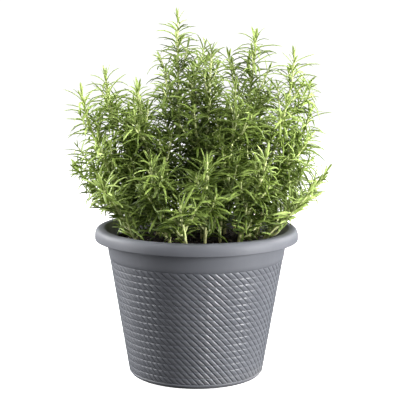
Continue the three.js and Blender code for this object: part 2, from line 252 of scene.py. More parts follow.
# The shell's section, from the underside outwards, up, over the rim and down inside. Each entry is
# (radius, height), and the rings of the weave go in between the two lists.
below_weave = [
    (15.5, 0), (16.4, 0.4), (17.6, 1.8), (18.5, 2.2), (78.6, 2.2), (79.4, 1.9), (80.4, 0.4),
    (81.2, 0), (91, 0), (93.6, 0.3), (96, 1.2), (97.7, 2.5), (98.8, 4),
    (wall_radius(5.5) + 0.1, 5.5), (wall_radius(6.6), 6.6), (wall_radius(7.1) - 0.4, 7.1),
]
skirt = RIM_RADIUS - SKIRT_THICKNESS
above_weave = [
    (wall_radius(175.8) - 0.5, 175.8), (wall_radius(176.3) + 0.1, 176.3),
    (wall_radius(177) + 0.4, 177), (wall_radius(182) + 0.4, 182), (wall_radius(192) + 0.25, 192),
    (wall_radius(203) + 0.1, 203), (wall_radius(212), 212), (wall_radius(215) + 0.7, 215),
    (139, 216.7), (143.4, 216.4), (145.9, 215.2), (skirt - 0.1, 213.2), (skirt, 210),
    (skirt, SKIRT_BOTTOM + 0.7), (skirt + 0.4, SKIRT_BOTTOM + 0.1), (skirt + 1.2, SKIRT_BOTTOM),
    (RIM_RADIUS - 0.6, SKIRT_BOTTOM), (RIM_RADIUS - 0.1, SKIRT_BOTTOM + 0.5),
    (RIM_RADIUS, SKIRT_BOTTOM + 1.3), (RIM_RADIUS, POT_HEIGHT - 11),
    (RIM_RADIUS - 0.25, POT_HEIGHT - 8), (RIM_RADIUS - 0.9, POT_HEIGHT - 5.2),
    (RIM_RADIUS - 2.1, POT_HEIGHT - 2.8), (RIM_RADIUS - 3.9, POT_HEIGHT - 1.1),
    (RIM_RADIUS - 6.2, POT_HEIGHT - 0.2), (RIM_RADIUS - 9, POT_HEIGHT),
    (RIM_RADIUS - 12.4, POT_HEIGHT), (RIM_RADIUS - 14.2, POT_HEIGHT - 0.4),
    (RIM_RADIUS - 15.9, POT_HEIGHT - 1.4), (inner_radius(216.6) + 0.3, 216.6),
    (inner_radius(213), 213), (inner_radius(206), 206), (inner_radius(196), 196),
    (inner_radius(FLOOR_TOP + CORNER), FLOOR_TOP + CORNER), (inner_radius(6), 5.8),
    (inner_radius(FLOOR_TOP) - CORNER, FLOOR_TOP),
]

cell_lines = np.concatenate([column + np.array(ACROSS_CELL) for column in range(WEAVE_COLUMNS)])
per_ring = len(cell_lines)
points, across_cell, up_cell, in_weave = [], [], [], []


def add_ring(radius, z, lean, row_place, woven):
    """One ring of the shell. lean turns it by that many cells, which slants the cells' sides."""
    turn = 2 * np.pi * (cell_lines - lean + WEAVE_TURN) / WEAVE_COLUMNS
    points.extend(np.stack([radius * np.cos(turn), radius * np.sin(turn), np.full(per_ring, z)], 1))
    across_cell.extend(cell_lines % 1)
    up_cell.extend([row_place] * per_ring)
    in_weave.extend([woven] * per_ring)


for radius, z in below_weave:
    add_ring(radius, z, 0, 0.5, 0)
for row in range(WEAVE_ROWS):
    for place in UP_CELL:
        z = WEAVE_BOTTOM + (row + place) * (WEAVE_TOP - WEAVE_BOTTOM) / WEAVE_ROWS
        add_ring(wall_radius(z), z, row + place, place, 1)
for radius, z in above_weave:
    add_ring(radius, z, WEAVE_ROWS, 0.5, 0)

ring_count = len(points) // per_ring
faces = skin(ring_count, per_ring)
underside, floor_middle = len(points), len(points) + 1
points.extend([(0, 0, 0), (0, 0, FLOOR_TOP)])
last_ring = (ring_count - 1) * per_ring
faces.extend((underside, (i + 1) % per_ring, i) for i in range(per_ring))
faces.extend((last_ring + i, last_ring + (i + 1) % per_ring, floor_middle) for i in range(per_ring))

planter = piece_of("grey_planter", points, faces)
for name, numbers in (("across_cell", across_cell), ("up_cell", up_cell), ("in_weave", in_weave)):
    carry(planter, name, [*numbers, 0, 0])

# The weave: each cell is a flat pad with a steep face on one leaning side and a wider bevel on the
# other, and the same between the rows, less deep.
sheet, size = growing_tree("woven_relief", **{
    "Depth": WEAVE_DEPTH * MM, "Steep Side": 0.16, "Bevelled Side": 0.24,
    "Steep End": 0.13, "Bevelled End": 0.2, "End Depth": 0.75,
})
across, up = sheet.attribute("across_cell"), sheet.attribute("up_cell")
steep = (1 - across / size["Steep Side"]).most(0)
bevel = (1 - (1 - across) / size["Bevelled Side"]).most(0)
steep_end = (1 - up / size["Steep End"]).most(0)
bevel_end = (1 - (1 - up) / size["Bevelled End"]).most(0)
side, end = steep.most(bevel), steep_end.most(bevel_end) * size["End Depth"]
sunk = ((side * side + end * end) ** 0.5).least(1) * size["Depth"] * sheet.attribute("in_weave")
position = sheet.add("GeometryNodeInputPosition")
flat = sheet.add("ShaderNodeVectorMath", {"operation": "MULTIPLY"}, {0: position, 1: (1, 1, 0)})
outwards = sheet.add("ShaderNodeVectorMath", {"operation": "NORMALIZE"}, {0: flat})
inwards = {0: outwards, "Scale": sunk * -1}
offset = sheet.add("ShaderNodeVectorMath", {"operation": "SCALE"}, inwards)
moved = sheet.add("GeometryNodeSetPosition", {}, {"Geometry": size["Geometry"], "Offset": offset})
sheet.add("NodeGroupOutput", {}, {0: moved})
grow(planter, sheet.tree)


def bored(piece, cutters):
    """Cuts closed pieces out of another, and removes them."""
    for cutter in cutters:
        modifier = piece.modifiers.new("hole", "BOOLEAN")
        modifier.operation = "DIFFERENCE"
        modifier.object = cutter
        modifier.solver = "MANIFOLD"
    make_plain(piece)
    for cutter in cutters:
        bpy.data.objects.remove(cutter)


def prism(name, outline, low, high):
    """A closed upright prism over an outline that runs anticlockwise."""
    n = len(outline)
    corners = [(x, y, z) for z in (low, high) for x, y in outline]
    sides = [(i, (i + 1) % n, n + (i + 1) % n, n + i) for i in range(n)]
    return piece_of(name, corners, [tuple(range(n))[::-1], tuple(range(n, 2 * n)), *sides])


cutters = []
circle = [2 * math.pi * i / ROUND_SIDES for i in range(ROUND_SIDES)]
for k in range(DRAIN_HOLES):
    turn = 2 * math.pi * k / DRAIN_HOLES
    x, y = DRAIN_CIRCLE * math.cos(turn), DRAIN_CIRCLE * math.sin(turn)
    outline = [(x + DRAIN_RADIUS * math.cos(a), y + DRAIN_RADIUS * math.sin(a)) for a in circle]
    cutters.append(prism("drain", outline, *DRAIN_CUT))
half_width = HOOK_SLOT_WIDTH / 2
straight = (HOOK_SLOT_LENGTH - HOOK_SLOT_WIDTH) / 2
for k in range(HOOK_SLOTS):
    turn = math.radians(FIRST_HOOK_ANGLE) + 2 * math.pi * k / HOOK_SLOTS
    outline = []
    for i, a in enumerate(circle):
        a -= math.pi / 2
        at_far_end = ROUND_SIDES <= 4 * i < 3 * ROUND_SIDES
        outward = HOOK_SLOT_CIRCLE + half_width * math.cos(a)
        sideways = (straight if at_far_end else -straight) + half_width * math.sin(a)
        outline.append((
            outward * math.cos(turn) - sideways * math.sin(turn),
            outward * math.sin(turn) + sideways * math.cos(turn),
        ))
    low, high = POT_HEIGHT - HOOK_SLOT_CUT, POT_HEIGHT + HOOK_SLOT_CUT
    cutters.append(prism("hook_slot", outline, low, high))
bored(planter, cutters)
planter.data.shade_smooth()


def material(name, **constants):
    """A new material with its Principled shader. Constants are set on the shader's own sockets."""
    made = bpy.data.materials.new(name)
    made.use_nodes = True
    shader = made.node_tree.nodes["Principled BSDF"]
    for socket, value in constants.items():
        shader.inputs[socket.replace("_", " ")].default_value = value
    return made, Sheet(made.node_tree), shader


def connect(sheet, shader, **wires):
    """Links wires to a shader's sockets."""
    for socket, wire in wires.items():
        sheet.tree.links.new(wire.socket, shader.inputs[socket.replace("_", " ")])


# The plastic is a little uneven in colour, smoother on the weave, and dusty round the foot.
plastic, sheet, shader = material("satin_grey_plastic", IOR=1.48, Specular_IOR_Level=0.28)
place = sheet.add("ShaderNodeTexCoord", output="Object")
noise_of = {"Vector": place, "Scale": 1400, "Detail": 3, "Roughness": 0.6}
grain = sheet.add("ShaderNodeTexNoise", {}, noise_of)
noise_of = {"Vector": place, "Scale": 14, "Detail": 4, "Roughness": 0.55}
cloud = sheet.add("ShaderNodeTexNoise", {}, noise_of)
height = sheet.add("ShaderNodeSeparateXYZ", {}, {0: place}, output="Z")
dust = (1 - height.rise(0, 0.03)) * 0.35 * cloud.rise(0.35, 0.75)
grey = sheet.mix(cloud.rise(0.3, 0.7), (0.122, 0.127, 0.143), (0.135, 0.140, 0.156))
grey = sheet.mix(dust, grey, (0.22, 0.216, 0.208))
woven = sheet.attribute("in_weave")
bump = sheet.add("ShaderNodeBump", {}, {"Strength": 0.22, "Distance": 0.0002, "Height": grain})
roughness = 0.46 - woven * 0.2 + cloud * 0.1 + grain * 0.06 + dust * 0.3
connect(sheet, shader, Base_Color=grey, Roughness=roughness, Normal=bump)
planter.data.materials.clear()
planter.data.materials.append(plastic)

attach(planter, "root")
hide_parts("planter")


# ------------------------------------------------------------------ soil
# Moist, dark potting soil: a low crown of fine crumbs, some of them dry and browner, with white
# grains of perlite among them. It lies 23 mm under the rim's top at the wall and 16 mm in the
# middle, and the stems stand in it.

SOIL_GAP = 0.35  # between the soil and the planter
SOIL_EDGE = 197  # height at the wall
SOIL_CROWN = 7  # how much higher the middle is
SOIL_LUMP = 2.2
SOIL_CRUMBLE = 1.6
CRUMBLE_SCALE = 0.09
SOIL_SIDES = 144
SOIL_RINGS = 34


def soil_height(x, y):
    away = np.hypot(x, y) / inner_radius(SOIL_EDGE)
    lumps = np.sin(x * 0.11 + 1.3) * np.cos(y * 0.13 - 0.4) + 0.6 * np.sin((x - y) * 0.07)
    return SOIL_EDGE + SOIL_CROWN * (1 - away * away) + SOIL_LUMP * lumps * (1 - away**4)


turns = np.arange(SOIL_SIDES) * 2 * np.pi / SOIL_SIDES
points = []
soil_bottom = FLOOR_TOP + SOIL_GAP
foot = (inner_radius(FLOOR_TOP) - CORNER - SOIL_GAP, soil_bottom)
above_corner = (inner_radius(FLOOR_TOP + CORNER) - SOIL_GAP, FLOOR_TOP + CORNER)
for radius, z in (foot, above_corner):
    points.extend((radius * math.cos(a), radius * math.sin(a), z) for a in turns)
for ring in range(SOIL_RINGS):
    radius = (inner_radius(SOIL_EDGE) - SOIL_GAP) * (1 - ring / SOIL_RINGS)
    for a in turns:
        x, y = radius * math.cos(a), radius * math.sin(a)
        crumbly = noise.fractal(Vector((x, y, 0)) * CRUMBLE_SCALE, 0.8, 2.1, 5)
        points.append((x, y, soil_height(x, y) + (SOIL_CRUMBLE * crumbly if ring else 0)))
top, bottom = len(points), len(points) + 1
last_ring = top - SOIL_SIDES
faces = skin(top // SOIL_SIDES, SOIL_SIDES)
points.extend([(0, 0, float(soil_height(0, 0))), (0, 0, soil_bottom)])
faces.extend((last_ring + i, last_ring + (i + 1) % SOIL_SIDES, top) for i in range(SOIL_SIDES))
faces.extend((bottom, (i + 1) % SOIL_SIDES, i) for i in range(SOIL_SIDES))
soil = piece_of("potting_soil", points, faces)

# Crumbs lie all over the top, each a lumpy little stone shape. A few of them are white perlite.
sheet, size = growing_tree("crumbs_on_soil", **{
    "Density": 30000.0, "Smallest": 0.0008, "Largest": 0.0036, "Perlite Share": 0.045,
    "Seed": 7, "Earth": "Material", "Perlite": "Material",
})
normal = sheet.add("GeometryNodeInputNormal")
facing_up = sheet.add("ShaderNodeSeparateXYZ", {}, {0: normal}, output="Z") > 0.3
scattered = sheet.add("GeometryNodeDistributePointsOnFaces", {}, {
    "Mesh": size["Geometry"], "Selection": facing_up, "Density": size["Density"],
    "Seed": size["Seed"],
})


def chance(sheet, low, high, seed):
    """A random number for each point, or a random vector where low and high are vectors."""
    if isinstance(low, tuple):
        kind, ends, output = "FLOAT_VECTOR", {0: low, 1: high}, 0
    else:
        kind, ends, output = "FLOAT", {2: low, 3: high}, 1
    ends["Seed"] = seed
    return sheet.add("FunctionNodeRandomValue", {"data_type": kind}, ends, output=output)


def marked(sheet, geometry, name, value, **settings):
    """The same geometry, whose points carry a value under a name."""
    inputs = {"Geometry": geometry, "Name": name, "Value": value}
    return sheet.add("GeometryNodeStoreNamedAttribute", settings, inputs)


stone = sheet.add("GeometryNodeMeshIcoSphere", {}, {"Radius": 1.0, "Subdivisions": 2})
rough = sheet.add("ShaderNodeTexNoise", {}, {"Scale": 1.6, "Detail": 2}, output="Color")
rough = sheet.add("ShaderNodeVectorMath", {"operation": "SUBTRACT"}, {0: rough, 1: (0.5, 0.5, 0.5)})
stone = sheet.add("GeometryNodeSetPosition", {}, {"Geometry": stone, "Offset": rough})
angles = chance(sheet, (0, 0, 0), (6.3, 6.3, 6.3), 1)
turned = sheet.add("FunctionNodeEulerToRotation", {}, {0: angles})
width = size["Smallest"] + (size["Largest"] - size["Smallest"]) * chance(sheet, 0.0, 1.0, 2) ** 2.5
sides = {0: chance(sheet, (0.7, 0.5, 0.4), (1.1, 0.9, 0.8), 3), "Scale": width}
shape = sheet.add("ShaderNodeVectorMath", {"operation": "SCALE"}, sides)
white = chance(sheet, 0.0, 1.0, 4) < size["Perlite Share"]
crumbs = []
for matter, chosen in ((size["Earth"], 1 - white), (size["Perlite"], white)):
    lumps = sheet.add("GeometryNodeInstanceOnPoints", {}, {
        "Points": scattered, "Selection": chosen, "Instance": stone, "Rotation": turned,
        "Scale": shape,
    })
    lumps = marked(sheet, lumps, "crumb_shade", chance(sheet, 0.0, 1.0, 5), domain="INSTANCE")
    solid = sheet.add("GeometryNodeRealizeInstances", {}, {"Geometry": lumps})
    crumbs.append(sheet.add("GeometryNodeSetMaterial", {}, {"Geometry": solid, "Material": matter}))
made_of = {"Geometry": size["Geometry"], "Material": size["Earth"]}
ground = sheet.add("GeometryNodeSetMaterial", {}, made_of)
joined = sheet.add("GeometryNodeJoinGeometry")
for part in (ground, *crumbs):
    sheet.tree.links.new(part.socket, joined.socket.node.inputs[0])
sheet.add("NodeGroupOutput", {}, {0: joined})

earth, earth_sheet, shader = material("moist_potting_soil", IOR=1.4)
place = earth_sheet.add("ShaderNodeTexCoord", output="Object")
noise_of = {"Vector": place, "Scale": 260, "Detail": 6, "Roughness": 0.7}
clods = earth_sheet.add("ShaderNodeTexNoise", {}, noise_of)
fibres = earth_sheet.add("ShaderNodeTexVoronoi", {}, {"Vector": place, "Scale": 420})
dry = earth_sheet.attribute("crumb_shade").rise(0.75, 1) * 0.6
brown = earth_sheet.mix(clods.rise(0.35, 0.7), (0.006, 0.004, 0.003), (0.032, 0.021, 0.013))
brown = earth_sheet.mix(dry, brown, (0.085, 0.052, 0.028))
relief = {"Strength": 0.8, "Distance": 0.0012, "Height": clods + fibres * 0.4}
bump = earth_sheet.add("ShaderNodeBump", {}, relief)
connect(earth_sheet, shader, Base_Color=brown, Roughness=0.95 - clods * 0.25, Normal=bump)

perlite, perlite_sheet, shader = material("perlite", IOR=1.45)
place = perlite_sheet.add("ShaderNodeTexCoord", output="Object")
pores = perlite_sheet.add("ShaderNodeTexVoronoi", {}, {"Vector": place, "Scale": 1500})
white = perlite_sheet.mix(pores.rise(0.1, 0.5), (0.42, 0.4, 0.34), (0.74, 0.73, 0.69))
relief = {"Strength": 0.6, "Distance": 0.0004, "Height": pores}
bump = perlite_sheet.add("ShaderNodeBump", {}, relief)
connect(perlite_sheet, shader, Base_Color=white, Roughness=0.8 + pores * 0.1, Normal=bump)

grow(soil, sheet.tree, Earth=earth, Perlite=perlite)
soil.data.shade_smooth()
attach(soil, "root")
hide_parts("soil")


# ------------------------------------------------------------------ rosemary
# Each stem leaves the soil by itself, woody and brown at its foot and green above, and carries
# side twigs. Narrow leathery leaves with rolled edges, dark above and pale beneath, grow in
# opposite pairs, each pair square to the last, with a tuft of small young leaves in each axil.

ROOT_DEPTH = 22  # how far a stem goes down into the soil
COLLAR = 5  # and how far straight up above it
STEM_RADIUS = 2.4
FOOT_FLARE = 1.3
STEM_TIP_RADIUS = 1.5
STEM_RISE = 0.22  # how long a stem holds its first direction, as a share of its height
TIP_RISE = 0.42  # and its last
TWIG_RADIUS = 1.8
TWIG_TIP_RADIUS = 1.0
LOWEST_TWIG = 0.12  # places along the stem, from 0 at the soil to 1 at the tip
HIGHEST_TWIG = 0.66
TWIG_LENGTH = 0.38  # at the soil, as a share of the stem's height
TWIG_LOSS = 0.28  # taken off that share towards the stem's tip
TWIG_EXTRA = (-6, 8, 22)  # then added to the twigs in turn
TURN = 137.5  # degrees round the stem from one twig to the next
TWIG_SPREAD = 0.78  # how far out a twig leaves, beside 0.62 along the stem
SPRIG_PLACE = 0.42  # where a twig carries its own small sprig
SPRIG_LENGTH = 0.62 - 0.4 * SPRIG_PLACE  # as a share of the twig's
SPRIG_TURN = (90, 40)  # degrees round the first twig, and added for each later one
OPPOSITE_BELOW = 0.5  # twigs lower than this have another one opposite
BARE_BACK = 60  # but not on stems whose tips lie further back than this
OPPOSITE_TURN = 170
OPPOSITE_STEP = 0.05  # how much further along the stem it leaves
OPPOSITE_LENGTH = 0.75
OPPOSITE_RADIUS = 1.4
OPPOSITE_SPREAD = 0.6
CROWN_TWIGS = ((0.66, 0.22), (0.75, 0.16), (0.84, 0.1))  # place, length as a share of the height
CROWN_TURN = 130  # degrees from the first twig
CROWN_SPREAD = 0.5
YOUNG_SHOOT = (0.04, 0.45)  # place and length of the young shoot at the stem's foot
YOUNG_TURN = 60
YOUNG_SPREAD = 0.9
OVER_RIM = 222
OUTWARD_SLOPE = 0.75  # how fast the bush widens over the rim
LEAF_LENGTH = 41
LEAF_HALF_WIDTH = 1.8
CURVE_STEP = 8  # between two points of a shoot's line
FEWEST_POINTS = 6  # of that line
LEAVES_AT_JOINT = 6  # two full, two young, and two that are full only near a thick shoot's tip
QUARTER_TURN = 1.5708  # radians
HALF_TURN = 3.14159

# Each stem's name, where it leaves the soil (x, y), its tip (x, y, z), how far the tip leans
# outwards, the direction of its first twig in degrees, and how many twigs follow one another.
STEMS = [
    ("tall_middle", -22, 12, -29, 22, 518, 0.0, 52, 6),
    ("tall_right", 42, 18, 86, 30, 497, 0.05, 203, 6),
    ("far_right", 78, 4, 141, 8, 466, 0.06, 75, 6),
    ("dark_middle", 8, -14, 20, -2, 474, 0.05, 330, 5),
    ("left_high", -58, 8, -133, 0, 438, 0.1, 131, 6),
    ("left_outer", -88, -12, -165, -22, 412, 0.15, 230, 5),
    ("left_inner", -44, -22, -84, -34, 420, 0.1, 60, 5),
    ("right_inner", 34, -30, 54, -46, 424, 0.0, 150, 5),
    ("right_mid", 90, 26, 166, 24, 388, 0.2, 40, 5),
    ("left_low", -98, 22, -176, 34, 296, 0.9, 80, 4),
    ("right_low", 100, -18, 187, -22, 304, 0.55, 250, 4),
    ("front_left", -38, -66, -64, -120, 330, 0.25, 130, 5),
    ("front_middle", 12, -72, 14, -128, 332, 0.2, 20, 5),
    ("front_right", 60, -66, 96, -112, 336, 0.25, 300, 5),
    ("corner_left", -84, -56, -132, -96, 296, 0.45, 193, 4),
    ("corner_right", 96, -50, 158, -82, 286, 0.45, 350, 4),
    ("back_left", -58, 62, -94, 104, 412, 0.15, 100, 5),
    ("back_middle", 0, 58, -6, 104, 446, 0.1, 40, 6),
    ("back_right", 58, 60, 94, 104, 418, 0.15, 280, 5),
    ("back_left_low", -94, 60, -142, 90, 316, 0.45, 150, 4),
    ("back_right_low", 94, 56, 146, 86, 320, 0.45, 10, 4),
    ("back_low", 14, 98, 20, 144, 312, 0.45, 230, 4),
    ("front_low", -14, -98, -22, -154, 276, 0.45, 90, 4),
]


def unit(v):
    return v / np.linalg.norm(v)


class Line:
    """A smooth line that its handles draw through the air, measured along its length."""

    STEPS = 200

    def __init__(self, *handles):
        t = np.linspace(0, 1, self.STEPS + 1)[:, None]
        handles = [np.array(h, float) for h in handles]
        while len(handles) > 1:
            handles = [a + (b - a) * t for a, b in zip(handles, handles[1:])]
        self.points = handles[0]
        steps = np.linalg.norm(np.diff(self.points, axis=0), axis=1)
        self.reach = np.concatenate([[0], np.cumsum(steps)])
        self.length = self.reach[-1]

    def at(self, share):
        """The point at a share of the line's length."""
        reach = share * self.length
        return np.array([np.interp(reach, self.reach, self.points[:, k]) for k in range(3)])

    def along(self, share):
        """The line's direction there."""
        return unit(self.at(min(share + 0.004, 1)) - self.at(max(share - 0.004, 0)))


def round_stem(along, degrees):
    """The direction square to a shoot, turned round it: at 0 to the right, at 90 to the back."""
    first = unit(np.cross((0, 1, 0), along))
    second = np.cross(along, first)
    return first * math.cos(math.radians(degrees)) + second * math.sin(math.radians(degrees))


def twig(line, share, degrees, length, spread=TWIG_SPREAD):
    """A side twig: it leaves at a slant and turns up."""
    start, along = line.at(share), line.along(share)
    out = round_stem(along, degrees)
    middle = start + (along * 0.62 + out * spread) * length * 0.45
    end = middle + unit(along * 0.86 + out * 0.3 + np.array([0, 0, 0.25])) * length * 0.6
    return Line(start, middle, end)


def clears_rim(line):
    """Whether a twig ends above the cone that the bush widens along over the planter's rim."""
    x, y, z = line.points[-1]
    return z > OVER_RIM + OUTWARD_SLOPE * (math.hypot(x, y) - RIM_RADIUS)


def shoots_of(x, y, tip_x, tip_y, tip_z, lean, first_twig, twig_count):
    """Every shoot of one stem, as (line, radius at its start, radius at its tip).

    A twig whose tip would hang below the cone over the rim isn't grown.
    """
    ground = float(soil_height(x, y))
    collar = np.array([x, y, ground + COLLAR])
    tip = np.array([tip_x, tip_y, tip_z], float)
    height = tip[2] - collar[2]
    outward = unit(np.array([tip_x - x, tip_y - y, 0.0]))
    risen = collar + (0, 0, height * STEM_RISE)
    below_tip = tip - unit(outward * lean + (0, 0, 1)) * height * TIP_RISE
    main = Line(collar, risen, below_tip, tip)
    shoots = [(main, STEM_RADIUS, STEM_TIP_RADIUS)]
    for k in range(twig_count):
        share = LOWEST_TWIG + (HIGHEST_TWIG - LOWEST_TWIG) * k / (twig_count - 1)
        length = height * (TWIG_LENGTH - TWIG_LOSS * share) + TWIG_EXTRA[k % 3]
        degrees = first_twig + k * TURN
        side = twig(main, share, degrees, length)
        if not clears_rim(side):
            continue
        shoots.append((side, TWIG_RADIUS, TWIG_TIP_RADIUS))
        sprig_turn = SPRIG_TURN[0] + SPRIG_TURN[1] * k
        sprig = twig(side, SPRIG_PLACE, sprig_turn, length * SPRIG_LENGTH)
        shoots.append((sprig, TWIG_TIP_RADIUS, TWIG_TIP_RADIUS))
        if share < OPPOSITE_BELOW and tip_y < BARE_BACK:
            share, degrees = share + OPPOSITE_STEP, degrees + OPPOSITE_TURN
            opposite = twig(main, share, degrees, length * OPPOSITE_LENGTH, OPPOSITE_SPREAD)
            if clears_rim(opposite):
                shoots.append((opposite, OPPOSITE_RADIUS, TWIG_TIP_RADIUS))
    for k, (place, length) in enumerate(CROWN_TWIGS):
        degrees = first_twig + CROWN_TURN + k * TURN
        crown = twig(main, place, degrees, height * length, CROWN_SPREAD)
        shoots.append((crown, TWIG_TIP_RADIUS, TWIG_TIP_RADIUS))
    place, length = YOUNG_SHOOT
    young = twig(main, place, first_twig + YOUNG_TURN, height * length, YOUNG_SPREAD)
    if clears_rim(young):
        shoots.append((young, TWIG_RADIUS, TWIG_TIP_RADIUS))
    foot = Line(collar - (0, 0, COLLAR + ROOT_DEPTH), collar)
    shoots.append((foot, STEM_RADIUS * FOOT_FLARE, STEM_RADIUS))
    return shoots


def shoot_curves(name, shoots):
    """The shoots as one curve object, with each point's radius in millimetres."""
    data = bpy.data.curves.new(name, "CURVE")
    data.dimensions = "3D"
    for line, start_radius, tip_radius in shoots:
        count = max(FEWEST_POINTS, int(line.length / CURVE_STEP))
        spline = data.splines.new("POLY")
        spline.points.add(count - 1)
        for k, point in enumerate(spline.points):
            share = k / (count - 1)
            point.co = (*(line.at(share) * MM), 1)
            point.radius = start_radius + (tip_radius - start_radius) * share
    made = bpy.data.objects.new(name, data)
    bpy.context.scene.collection.objects.link(made)
    return made


LEAF_STATIONS = ((0.0, 0.5), (0.1, 0.78), (0.34, 1.0), (0.62, 0.98), (0.86, 0.66))  # (along, width)
LEAF_SECTION = (  # (across, height, how much it faces up)
    (-1, -0.16, 0.5), (-0.6, 0.34, 1), (0, 0.12, 0.8),
    (0.6, 0.34, 1), (1, -0.16, 0.5), (0, -0.62, 0),
)
LEAF_THICKNESS = 0.04
LEAF_ARCHES = (8, 26, 46, 68, 94)  # degrees between a leaf's root and its tip
LEAF_TIP = (0.34, 0.88)  # where a middling leaf of length 1 has its tip, along X and Z
ARCH_STEPS = 100  # that an arch is worked out in


def leaf_shape(name, arch):
    """A leaf of length and half width 1 that stands on its root and arches towards +X.

    Its section is a rolled edge, a shoulder and the groove over the midrib on top, and the midrib
    below. It carries how far along each point lies, and whether it faces up (1) or down (0).
    """
    path, x, z = [], 0.0, 0.0
    for step in range(ARCH_STEPS + 1):
        slope = math.radians(arch) * step / ARCH_STEPS
        path.append((x, z, slope))
        x += 1 / ARCH_STEPS * math.sin(slope)
        z += 1 / ARCH_STEPS * math.cos(slope)
    points, along, upper = [], [], []
    for share, width in LEAF_STATIONS:
        x, z, slope = path[round(share * ARCH_STEPS)]
        for side, above, face in LEAF_SECTION:
            lift = above * width * LEAF_THICKNESS
            points.append((x - math.cos(slope) * lift, side * width, z + math.sin(slope) * lift))
            along.append(share)
            upper.append(face)
    points.extend([(path[-1][0], 0, path[-1][1]), (0, 0, -0.01)])
    along.extend([1, 0])
    upper.extend([0.6, 0.5])
    n, last = len(LEAF_SECTION), (len(LEAF_STATIONS) - 1) * len(LEAF_SECTION)
    faces = [(b, a, d, c) for a, b, c, d in skin(len(LEAF_STATIONS), n)]
    faces.extend((last + (i + 1) % n, last + i, last + n) for i in range(n))
    faces.extend((i, (i + 1) % n, last + n + 1) for i in range(n))
    shape = piece_of(name, np.array(points) / MM, faces)
    carry(shape, "leaf_along", along)
    carry(shape, "leaf_upper", upper)
    shape.data.shade_smooth()
    return shape


leaf_kinds = bpy.data.collections.new("leaf_kinds")
for arch in LEAF_ARCHES:
    shape = leaf_shape(f"leaf_{arch}", arch)
    bpy.context.scene.collection.objects.unlink(shape)
    leaf_kinds.objects.link(shape)

sheet, size = growing_tree("leafy_shoots", **{
    "Shoots": "Object", "Leaf Kinds": "Collection", "Wood": "Material", "Leaf": "Material",
    "Pair Spacing": 0.0072, "Leaf Length": LEAF_LENGTH * MM,
    "Leaf Half Width": LEAF_HALF_WIDTH * MM, "Bare Share": 0.1, "Bare Radius": 0.00195,
    "Soil Height": 0.2, "Rim Radius": 0.129, "Rim Height": 0.2235,
    "Outward Slope": OUTWARD_SLOPE, "Half Width": 0.2, "Half Depth": 0.171,
    "Middle Depth": -0.003, "Seed": 1,
})
taken = {"Object": size["Shoots"]}
shoots = sheet.add("GeometryNodeObjectInfo", {"transform_space": "ORIGINAL"}, taken, "Geometry")
share = sheet.add("GeometryNodeSplineParameter")
whole = sheet.add("GeometryNodeSplineLength")
shoots = marked(sheet, shoots, "shoot_share", share)
shoots = marked(sheet, shoots, "shoot_radius", sheet.add("GeometryNodeInputRadius") * MM)
shoots = marked(sheet, shoots, "below_tip", (1 - share) * whole)
radius_here = sheet.attribute("shoot_radius")
share_here = sheet.attribute("shoot_share")
below_tip = sheet.attribute("below_tip")

ring = sheet.add("GeometryNodeCurvePrimitiveCircle", {}, {"Resolution": 8, "Radius": 1.0})
tubes = sheet.add("GeometryNodeCurveToMesh", {}, {
    "Curve": shoots, "Profile Curve": ring, "Scale": radius_here, "Fill Caps": True,
})
tubes = sheet.add("GeometryNodeSetMaterial", {}, {"Geometry": tubes, "Material": size["Wood"]})

# Points for leaves, six at each joint of the shoot. The first two are for full leaves and the next
# two for young ones. The last two are for full leaves near the tip of a thick shoot, and for young
# ones elsewhere. Each joint is turned a quarter from the last, and its leaves lie up to 3 mm off.
dots = sheet.add("GeometryNodeCurveToPoints", {"mode": "LENGTH"}, {
    "Curve": shoots, "Length": size["Pair Spacing"],
})
facing = dots.out("Rotation")
dots = marked(sheet, dots, "joint", sheet.add("GeometryNodeInputIndex"))
dots = marked(sheet, dots, "facing", facing, data_type="QUATERNION")
dots = sheet.add("GeometryNodeDuplicateElements", {"domain": "POINT"}, {
    "Geometry": dots, "Amount": LEAVES_AT_JOINT,
})
dots = marked(sheet, dots, "leaf_in_joint", dots.out("Duplicate Index"))
facing = {"Name": "facing"}
turned = sheet.add("GeometryNodeInputNamedAttribute", {"data_type": "QUATERNION"}, facing)
number = sheet.attribute("leaf_in_joint")
seed = size["Seed"]
onwards = sheet.add("FunctionNodeRotateVector", {}, {"Vector": (0, 0, 1), "Rotation": turned})
shift = chance(sheet, -0.003, 0.003, seed + 10)
shift = sheet.add("ShaderNodeVectorMath", {"operation": "SCALE"}, {0: onwards, "Scale": shift})
dots = sheet.add("GeometryNodeSetPosition", {}, {"Geometry": dots, "Offset": shift})
fine = 1 - radius_here.rise(0.001, 0.0012)
crowded = (1 - below_tip.rise(0.05, 0.1)) * (1 - fine)
young = (number > 1.5) * (1 - (number > 3.5) * crowded)
tip_near = 1 - below_tip.rise(0, 0.012)
around = sheet.attribute("joint") * QUARTER_TURN + number * HALF_TURN
around = around + young * 0.7 + (number > 3.5) * 1.3
around = around + chance(sheet, -0.35, 0.35, seed + 1)
slant = (0.84 - tip_near * 0.6) * (1 - young * 0.3) + chance(sheet, -0.3, 0.3, seed + 2)
reach = (1 - tip_near * 0.5 - fine * 0.12) * (1 - young * chance(sheet, 0.25, 0.75, seed + 3))
reach = reach * chance(sheet, 0.74, 1.14, seed + 4)
tall = size["Leaf Length"] * reach
wide = size["Leaf Half Width"] * (1 - young * 0.25) * chance(sheet, 0.6, 1.15, seed + 5)
tilt = {"X": chance(sheet, -0.16, 0.16, seed + 6), "Y": slant, "Z": around}
tilt = sheet.add("ShaderNodeCombineXYZ", {}, tilt)
tilt = sheet.add("FunctionNodeEulerToRotation", {}, {0: tilt})
turned = sheet.add("FunctionNodeRotateRotation", {"rotation_space": "LOCAL"}, {
    "Rotation": turned, "Rotate By": tilt,
})
